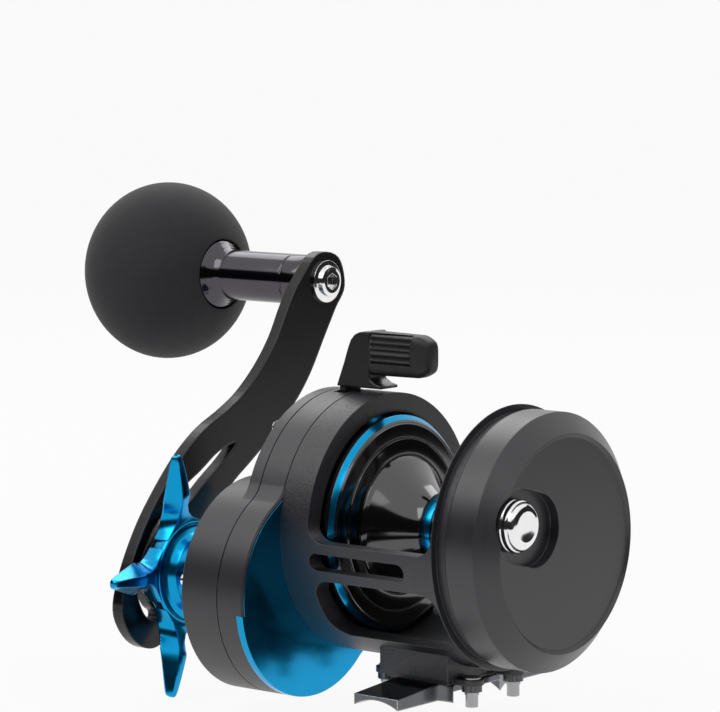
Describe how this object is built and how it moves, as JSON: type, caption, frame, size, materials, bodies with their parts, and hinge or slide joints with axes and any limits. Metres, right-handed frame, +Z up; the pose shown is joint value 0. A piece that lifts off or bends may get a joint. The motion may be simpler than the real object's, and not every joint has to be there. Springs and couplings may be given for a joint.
{
  "type": "trolling reel",
  "caption": "Star drag trolling reel with an open frame, black spool, curved crank with a round foam knob, clutch lever and arched foot.",
  "frame": {"origin": "centre of the flat seat face under the reel foot", "axes": "+X along the spool axis from the handle side to the plain side plate, -Y towards the rod tip, +Z up away from the rod"},
  "size_m": [0.183, 0.1135, 0.1191],
  "materials": {
    "anodised_black": "satin",
    "anodised_blue": "gloss",
    "cover_black": "satin",
    "spool_black": "gloss",
    "foot_black": "gloss",
    "bright_steel": "polished",
    "steel": "satin",
    "dark_steel": "polished",
    "brass": "satin",
    "drag_fibre": "matte",
    "lever_black": "satin",
    "grip_rubber": "matte",
    "knob_foam": "matte"
  },
  "bodies": {
    "reel_body": {"frame": "anodised_black", "left_side_plate": "anodised_black", "plate_screws": "bright_steel", "gear_plate": "anodised_blue", "gear_housing": "cover_black", "right_cover": "cover_black", "cover_screws": "bright_steel", "reel_foot": "foot_black", "foot_screws": "steel", "clamp_plate": "anodised_black", "clamp_studs": "steel", "clamp_nuts": "dark_steel", "left_spool_bearing": "bright_steel", "right_spool_bearing": "bright_steel", "yoke_posts": "steel", "pawl_pin": "steel", "shaft_bearing": "bright_steel", "tension_spacer": "brass"},
    "crank": {"drive_shaft": "steel", "drive_gear": "brass", "ratchet": "steel", "drag_washers": "drag_fibre", "drag_plates": "steel", "spring_washers": "steel", "shaft_spacer": "dark_steel", "handle_arm": "anodised_black", "handle_nut": "dark_steel", "nut_cap": "bright_steel", "knob_spindle": "steel", "arm_washer": "drag_fibre", "knob_screw": "bright_steel"},
    "star": {"star_drag": "anodised_blue"},
    "handle_knob": {"knob": "knob_foam", "knob_sleeve": "dark_steel", "knob_bearings": "bright_steel"},
    "spool_group": {"spool": "spool_black", "spool_shaft": "steel", "drive_pin": "steel", "click_gear": "brass"},
    "lever": {"clutch_lever": "lever_black", "lever_grip": "grip_rubber", "clutch_cam": "steel"},
    "yoke": {"clutch_yoke": "steel", "yoke_springs": "steel"},
    "pinion_gear": {"pinion": "brass"},
    "clicker": {"click_button": "bright_steel", "click_pawl": "steel"},
    "tension_knob": {"tension_cap": "anodised_black"},
    "pawl": {"anti_reverse_pawl": "steel"}
  },
  "joints": [
    {"name": "handle_turn", "type": "hinge", "parent": "reel_body", "child": "crank", "pos_m": [-0.0485, -0.01624, 0.02117], "axis": [1, 0, 0], "continuous": true},
    {"name": "star_turn", "type": "hinge", "parent": "crank", "child": "star", "pos_m": [-0.0685, -0.01624, 0.02117], "axis": [1, 0, 0], "range_deg": [-180, 180]},
    {"name": "knob_turn", "type": "hinge", "parent": "crank", "child": "handle_knob", "pos_m": [-0.1085, 0.04371, 0.08776], "axis": [1, 0, 0], "continuous": true},
    {"name": "spool_turn", "type": "hinge", "parent": "reel_body", "child": "spool_group", "pos_m": [-0.0005, 0.003, 0.0356], "axis": [1, 0, 0], "continuous": true},
    {"name": "lever_swing", "type": "hinge", "parent": "reel_body", "child": "lever", "pos_m": [-0.0313, 0.003, 0.0356], "axis": [-1, 0, 0], "range_deg": [0, 30]},
    {"name": "yoke_slide", "type": "slide", "parent": "reel_body", "child": "yoke", "axis": [-1, 0, 0], "range_m": [0, 0.0022]},
    {"name": "pinion_turn", "type": "hinge", "parent": "yoke", "child": "pinion_gear", "pos_m": [-0.0355, 0.003, 0.0356], "axis": [1, 0, 0], "continuous": true},
    {"name": "clicker_slide", "type": "slide", "parent": "reel_body", "child": "clicker", "axis": [0, 0.9659, -0.2588], "range_m": [0, 0.0066]},
    {"name": "tension_turn", "type": "hinge", "parent": "reel_body", "child": "tension_knob", "pos_m": [-0.0515, 0.003, 0.0356], "axis": [1, 0, 0], "range_deg": [-150, 150]},
    {"name": "pawl_swing", "type": "hinge", "parent": "reel_body", "child": "pawl", "pos_m": [-0.034, -0.03454, 0.02387], "axis": [1, 0, 0], "range_deg": [0, 8]}
  ],
  "couplings": [
    {"joint": "spool_turn", "follows": "handle_turn", "ratio": -6.4},
    {"joint": "pinion_turn", "follows": "handle_turn", "ratio": -6.4},
    {"joint": "yoke_slide", "follows": "lever_swing", "m_per_rad": 0.0042017}
  ]
}
